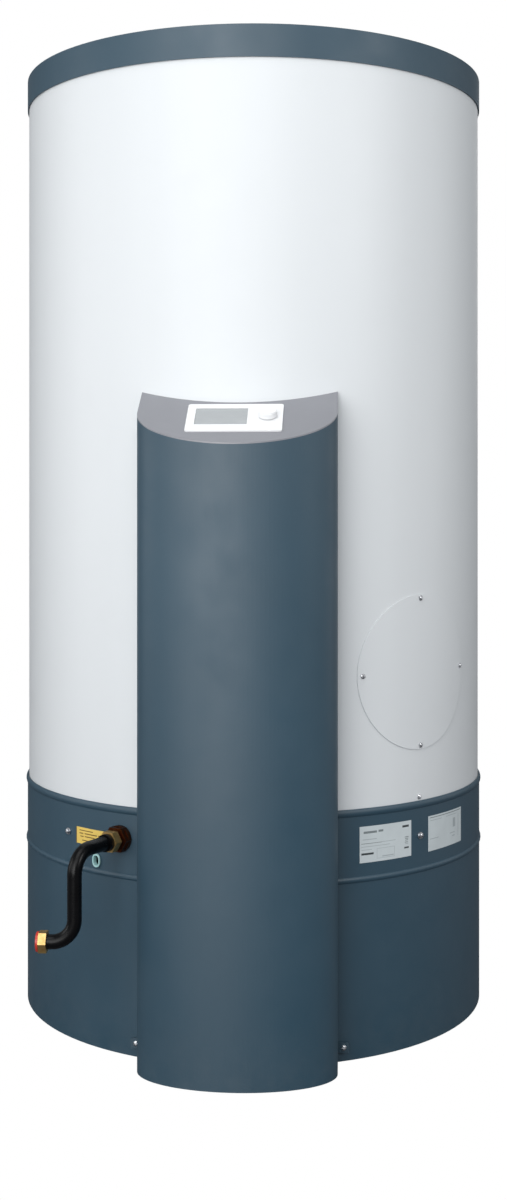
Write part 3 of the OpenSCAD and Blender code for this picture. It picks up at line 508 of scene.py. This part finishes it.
def print_labels():
    """Generic print: headings, lines of small print, a column of short bars and a frame."""
    data_plate = [
        ("grey", 0.07, 0.31, 0.80, 0.86), ("grey", 0.34, 0.43, 0.81, 0.87),
        ("pale", 0.05, 0.31, 0.625, 0.645), ("grey", 0.03, 0.40, 0.515, 0.530),
        ("pale", 0.40, 0.67, 0.52, 0.535), ("pale", 0.03, 0.56, 0.430, 0.445),
        ("pale", 0.03, 0.22, 0.345, 0.36), ("grey", 0.86, 0.94, 0.545, 0.565),
        ("grey", 0.865, 0.935, 0.50, 0.52), ("grey", 0.87, 0.93, 0.455, 0.475),
        ("grey", 0.86, 0.925, 0.40, 0.42), ("pale", 0.87, 0.93, 0.355, 0.375),
        ("dark", 0.85, 0.945, 0.235, 0.28), ("pale", 0.41, 0.63, 0.115, 0.145),
        ("dark", 0.81, 0.945, 0.83, 0.89), ("dark", 0.03, 0.25, 0.21, 0.265),
    ]
    data_plate += outline("pale", 0.31, 0.65, 0.08, 0.36, 0.006, 0.010)
    plate_span = label_span("rating_labels", *DATA_PLATE_SIDES)
    print_label("rating_label_print", plate_span, data_plate)
    notice = [
        ("grey", 0.03, 0.97, 0.935, 0.955), ("pale", 0.05, 0.36, 0.855, 0.87),
        ("pale", 0.48, 0.82, 0.86, 0.875), ("pale", 0.70, 0.78, 0.50, 0.76),
        ("pale", 0.04, 0.27, 0.33, 0.35), ("pale", 0.60, 0.76, 0.335, 0.355),
        ("pale", 0.68, 0.76, 0.24, 0.265), ("pale", 0.88, 0.89, 0.20, 0.84),
    ]
    notice_span = label_span("rating_labels", *NOTICE_SIDES)
    print_label("notice_label_print", notice_span, notice)
    gas_notice = [
        # The first bar is a dark strip down the label's left edge.
        ("brown", 0.0, 0.018, 0.0, 1.0), ("brown", 0.12, 0.60, 0.80, 0.85),
        ("brown", 0.12, 0.26, 0.61, 0.67), ("brown", 0.31, 0.74, 0.62, 0.68),
        ("brown", 0.15, 0.27, 0.43, 0.49), ("brown", 0.32, 0.66, 0.44, 0.50),
        ("brown", 0.22, 0.48, 0.20, 0.26), ("brown", 0.78, 0.94, 0.3, 0.7),
    ]
    print_label("gas_label_print", label_span("gas_label"), gas_notice)


print_labels()

# ---------------------------------------------------------------- stage and light

FLOOR_RADIUS = 9.0
FLOOR_SIDES = 96
FLOOR_COLOUR = (0.14, 0.14, 0.15, 1.0)
FLOOR_ROUGHNESS = 0.7
AMBIENT_COLOUR = (0.92, 0.96, 1.0, 1.0)
AMBIENT = 0.24
# name, place, aim, width and height, watts
LIGHTS = [
    ("key", (-0.9, -3.8, 1.25), (0.0, 0.0, 0.95), (2.2, 2.3), 66.0),
    ("high", (-0.3, -3.6, 2.90), (0.0, 0.0, 1.3), (3.2, 1.1), 30.0),
    ("left", (-2.8, -3.0, 1.7), (0.0, 0.0, 1.0), (1.3, 2.2), 20.0),
    ("side", (-3.8, -0.5, 1.4), (0.0, 0.0, 0.9), (1.4, 2.2), 24.0),
    ("right", (3.2, -2.2, 2.2), (0.0, 0.0, 1.1), (1.3, 1.6), 32.0),
    ("rim", (3.9, 0.7, 1.3), (0.0, 0.0, 0.8), (1.2, 2.2), 15.0),
    ("back", (0.8, 3.6, 2.2), (0.0, 0.0, 1.0), (2.0, 2.0), 16.0),
    ("top", (-0.3, -1.6, 4.0), (0.0, 0.0, 1.2), (2.6, 2.6), 44.0),
]


def make_floor():
    """A dark disc that reflects a little light on to the heater; the camera doesn't see it."""
    mesh = bpy.data.meshes.new("floor")
    bm = bmesh.new()
    bmesh.ops.create_circle(bm, cap_ends=True, segments=FLOOR_SIDES, radius=FLOOR_RADIUS)
    bm.to_mesh(mesh)
    bm.free()
    floor = bpy.data.objects.new("floor", mesh)
    scene.collection.objects.link(floor)
    mat = bpy.data.materials.new("floor")
    mat.use_nodes = True
    shader = mat.node_tree.nodes["Principled BSDF"]
    shader.inputs["Base Color"].default_value = FLOOR_COLOUR
    shader.inputs["Roughness"].default_value = FLOOR_ROUGHNESS
    mesh.materials.append(mat)
    floor.visible_camera = False


def make_world():
    """A dim, cool sky lights the heater; the camera sees plain white instead of it."""
    world = bpy.data.worlds.new("studio")
    scene.world = world
    world.use_nodes = True
    tree = world.node_tree
    ambient = tree.nodes["Background"]
    ambient.inputs["Color"].default_value = AMBIENT_COLOUR
    ambient.inputs["Strength"].default_value = AMBIENT
    white = tree.nodes.new("ShaderNodeBackground")
    white.inputs["Color"].default_value = (1.0, 1.0, 1.0, 1.0)
    path = tree.nodes.new("ShaderNodeLightPath")
    mix = tree.nodes.new("ShaderNodeMixShader")
    tree.links.new(path.outputs["Is Camera Ray"], mix.inputs["Fac"])
    tree.links.new(ambient.outputs["Background"], mix.inputs[1])
    tree.links.new(white.outputs["Background"], mix.inputs[2])
    tree.links.new(mix.outputs["Shader"], tree.nodes["World Output"].inputs["Surface"])


def area_light(name, place, aim, size, power):
    """A rectangular lamp at a place, turned towards what it aims at."""
    data = bpy.data.lights.new(name, "AREA")
    data.shape = "RECTANGLE"
    data.size, data.size_y = size
    data.energy = power
    light = bpy.data.objects.new(name, data)
    light.location = place
    light.rotation_euler = (Vector(aim) - Vector(place)).to_track_quat("-Z", "Y").to_euler()
    scene.collection.objects.link(light)


make_floor()
make_world()
for light in LIGHTS:
    area_light(*light)
scene.view_settings.view_transform = "Standard"
scene.view_settings.look = "None"
